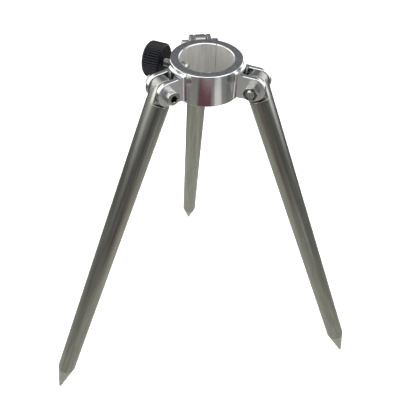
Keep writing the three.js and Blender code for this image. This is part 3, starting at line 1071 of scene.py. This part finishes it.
class TRIPOD_OT_knob(bpy.types.Operator):
    """Make the fluted clamp knob"""

    bl_idname = "tripod.knob"
    bl_label = "Clamp knob"

    def execute(self, context):
        own = settings(context).clamp
        outer, depth, flutes = own.diameter / 2 / MM, own.flute_depth / MM, own.flutes
        near, far = KNOB_FACE, KNOB_FACE + own.length / MM
        hole, floor, dish = KNOB_HOLE, near + 2.6, far - KNOB_DISH
        skirt = rounded([(hole, floor, 0), (hole, near, 0.15), (outer - 1.5, near, 0.2),
                         (outer - 0.7, near + 0.35, 0.5), (outer, near + 1.0, 0.3),
                         (outer, far - 1.2, 0.6), (outer - 1.2, far, 0.6), (outer - 2.2, far, 0.4),
                         (outer - 2.6, dish, 0.4), (0, dish, 0)], steps=4)

        def reach(r, z, angle):
            side = min(1, max(0, (r - (outer - 1.1)) / 0.8))
            wave = abs(sin(angle * flutes / 2)) ** 0.9
            return r - depth * side * (1 - wave)
        knob = turned([(0, floor)] + skirt, flutes * FLUTE_POINTS, reach)
        finished(knob, "fluted_knob", "clamp_screw", clamp_place(),
                 ["clamp_knob"], [moulded_plastic("knob plastic", own.plastic)], crease=40)
        return {"FINISHED"}


# ---- studio ----
def softbox(name, place, width, height, power, shade):
    """An area light that faces the tripod."""
    light = bpy.data.lights.new(name, "AREA")
    light.shape = "RECTANGLE"
    light.size, light.size_y = width, height
    light.energy = power
    light.color = shade
    lamp = bpy.data.objects.new(name, light)
    bpy.context.scene.collection.objects.link(lamp)
    lamp.location = place
    lamp.rotation_mode = "QUATERNION"
    lamp.rotation_quaternion = (Vector(LIGHT_TARGET) - Vector(place)).to_track_quat("-Z", "Y")


def glowing(name, **constants):
    """The start of a paint that glows and reflects nothing."""
    return Shader(name, Base_Color=(0, 0, 0), Roughness=1.0, Emission_Strength=1.0, **constants)


def card(name, place, target, width, height, shade):
    """A plain glowing card that only shows in reflections."""
    x, y = width / 2, height / 2
    shape = solid([(-x, -y, 0), (x, -y, 0), (x, y, 0), (-x, y, 0)], [(0, 1, 2, 3)])
    shape.name = name
    shape.location = place
    shape.rotation_mode = "QUATERNION"
    shape.rotation_quaternion = (Vector(target) - Vector(place)).to_track_quat("Z", "Y")
    shape.data.materials.append(glowing(name, Emission_Color=shade).material)
    shape.visible_camera = False
    shape.visible_diffuse = False
    shape.visible_shadow = False
    shape.visible_transmission = False
    return shape


WORLD_COLOUR, WORLD_STRENGTH = (0.75, 0.76, 0.77, 1), 0.42
SENSOR_WIDTH, CLIP_START = 36, 0.01
# softboxes: name, place, width, height, power, colour
LIGHTS = (
    ("overhead", (0.02, -0.35, 1.25), 2.0, 1.6, 15, (1, 1, 1)),
    ("left window", (-1.3, -0.5, 0.8), 0.9, 0.9, 5, (1, 0.99, 0.96)),
    ("right fill", (1.2, -0.3, 0.6), 0.7, 1.0, 3.5, (0.96, 0.98, 1)),
)
LIGHT_TARGET = (0, -0.02, 0.16)
# cards standing round the collar, seen only in the metal: name, place, width, height, colour
WALL_CARDS = (
    ("flag_behind", (0.12, 1.1, 0.82), 0.85, 0.75, (0.185, 0.195, 0.21)),
    ("window_left", (-0.9, 0.66, 0.8), 1.25, 1.1, (1.5, 1.5, 1.45)),
    ("window_right", (0.88, 0.78, 0.6), 1.0, 0.95, (1.5, 1.5, 1.5)),
    ("flag_operator", (-0.06, -0.62, 0.62), 0.55, 0.5, (0.045, 0.03, 0.03)),
)
# cards lying on the table in front, seen only in the metal: name, x, y, width, depth, colour
TABLE_CARDS = (
    ("flag_lap", -0.07, -0.365, 0.27, 0.13, (0.10, 0.022, 0.036)),
    ("flag_hem", -0.07, -0.475, 0.30, 0.09, (0.34, 0.28, 0.27)),
    ("flag_sheet", 0.20, -0.35, 0.14, 0.16, (0.70, 0.70, 0.68)),
    ("flag_shade", 0.41, -0.15, 0.10, 0.18, (0.12, 0.12, 0.11)),
)
TABLE_SIZE, TABLE_HEIGHT, CARD_HEIGHT = 5, 0.001, 0.002
FLOOR_DROP = 0.0002
SWEEP_START, SWEEP_BEND, SWEEP_TOP = 2.2, 1.0, 4.0


def sweep(own):
    """The floor, bent up into a wall all round, which glows a little more the further out it is."""
    bend = arc((SWEEP_START, SWEEP_BEND), SWEEP_BEND, -90, 0, 12)
    profile = [(0, 0), (0.6, 0), (1.4, 0)] + bend + [(SWEEP_START + SWEEP_BEND, SWEEP_TOP)]
    shape = turned(profile + [(0, SWEEP_TOP)], 96)
    mesh = bmesh.new()
    mesh.from_mesh(shape.data)
    lid = [face for face in mesh.faces if face.calc_center_median().z > SWEEP_TOP - 0.01]
    bmesh.ops.delete(mesh, geom=lid, context="FACES")
    bmesh.ops.reverse_faces(mesh, faces=mesh.faces)
    mesh.to_mesh(shape.data)
    mesh.free()
    shape.data.shade_smooth()
    shape.name = "studio_floor"
    shape.location.z = -FLOOR_DROP
    shape.visible_shadow = False
    shape.visible_glossy = False
    paint = Shader("studio floor", Roughness=0.7, Specular_IOR_Level=0.2, Emission_Strength=1.0)
    here = paint.here()
    outward = paint.step(paint.away(here), 0.1, SWEEP_START)
    mottle = paint.noise(here, 9.0, 3.0)
    shade = paint.blend(mottle, own.floor, darker(own.floor, 0.985))
    glow = paint.blend(outward, darker(own.floor, 0.14), darker(own.floor, 0.8))
    shape.data.materials.append(paint.finish(Base_Color=shade, Emission_Color=glow))
    return shape


def dim_outward(table):
    """Paints the table's card to grow darker away from the legs."""
    table.data.materials.clear()
    shader = glowing("flag_table")
    away = shader.away(shader.here())
    near = shader.blend(shader.step(away, 0.1, 0.45), (0.56, 0.55, 0.50), (0.20, 0.20, 0.185))
    far = shader.blend(shader.step(away, 0.4, 0.9), near, (0.085, 0.08, 0.08))
    table.data.materials.append(shader.finish(Emission_Color=far))


class TRIPOD_OT_studio(bpy.types.Operator):
    """Make the floor, the lights, the reflecting cards and the camera"""

    bl_idname = "tripod.studio"
    bl_label = "Studio"

    def execute(self, context):
        own = settings(context).studio
        sweep(own)

        world = bpy.data.worlds.new("studio")
        context.scene.world = world
        world.use_nodes = True
        background = world.node_tree.nodes["Background"]
        background.inputs["Color"].default_value = WORLD_COLOUR
        background.inputs["Strength"].default_value = WORLD_STRENGTH

        for light in LIGHTS:
            softbox(*light)
        for name, place, width, height, shade in WALL_CARDS:
            card(name, place, COLLAR_CENTRE, width, height, shade)
        table = card("flag_table", (0, 0, TABLE_HEIGHT), (0, 0, 1), TABLE_SIZE, TABLE_SIZE, (0, 0, 0))
        dim_outward(table)
        for name, x, y, width, depth, shade in TABLE_CARDS:
            card(name, (x, y, CARD_HEIGHT), (x, y, 1), width, depth, shade)

        camera = bpy.data.cameras.new("camera")
        camera.lens = own.lens
        camera.sensor_width = SENSOR_WIDTH
        camera.clip_start = CLIP_START
        view = bpy.data.objects.new("camera", camera)
        context.scene.collection.objects.link(view)
        view.location = own.camera_place
        view.rotation_euler = own.camera_turn
        context.scene.camera = view
        context.scene.view_settings.view_transform = "Standard"
        return {"FINISHED"}


# ---- add-on ----
OPERATORS = (TRIPOD_OT_studio, TRIPOD_OT_collar, TRIPOD_OT_liner, TRIPOD_OT_legs,
             TRIPOD_OT_hinge_hardware, TRIPOD_OT_clamp_screw, TRIPOD_OT_knob)


class TRIPOD_PT_panel(bpy.types.Panel):
    """The tripod's pieces, one button for each."""

    bl_idname = "TRIPOD_PT_panel"
    bl_label = "Survey pole tripod"
    bl_space_type = "VIEW_3D"
    bl_region_type = "UI"
    bl_category = "Tripod"

    def draw(self, context):
        for operator in OPERATORS:
            self.layout.operator(operator.bl_idname)


CLASSES = (CollarSettings, LegSettings, HardwareSettings, ClampSettings, StudioSettings,
           TripodSettings, *OPERATORS, TRIPOD_PT_panel)


def register():
    """Registers the classes and hangs the settings on the scene."""
    for item in CLASSES:
        bpy.utils.register_class(item)
    bpy.types.Scene.tripod = PointerProperty(type=TripodSettings)


def unregister():
    """Takes the settings and the classes away again."""
    del bpy.types.Scene.tripod
    for item in reversed(CLASSES):
        bpy.utils.unregister_class(item)


def main():
    """Builds everything."""
    register()
    for operator in OPERATORS:
        group, name = operator.bl_idname.split(".")
        getattr(getattr(bpy.ops, group), name)()


if __name__ == "__main__":
    main()
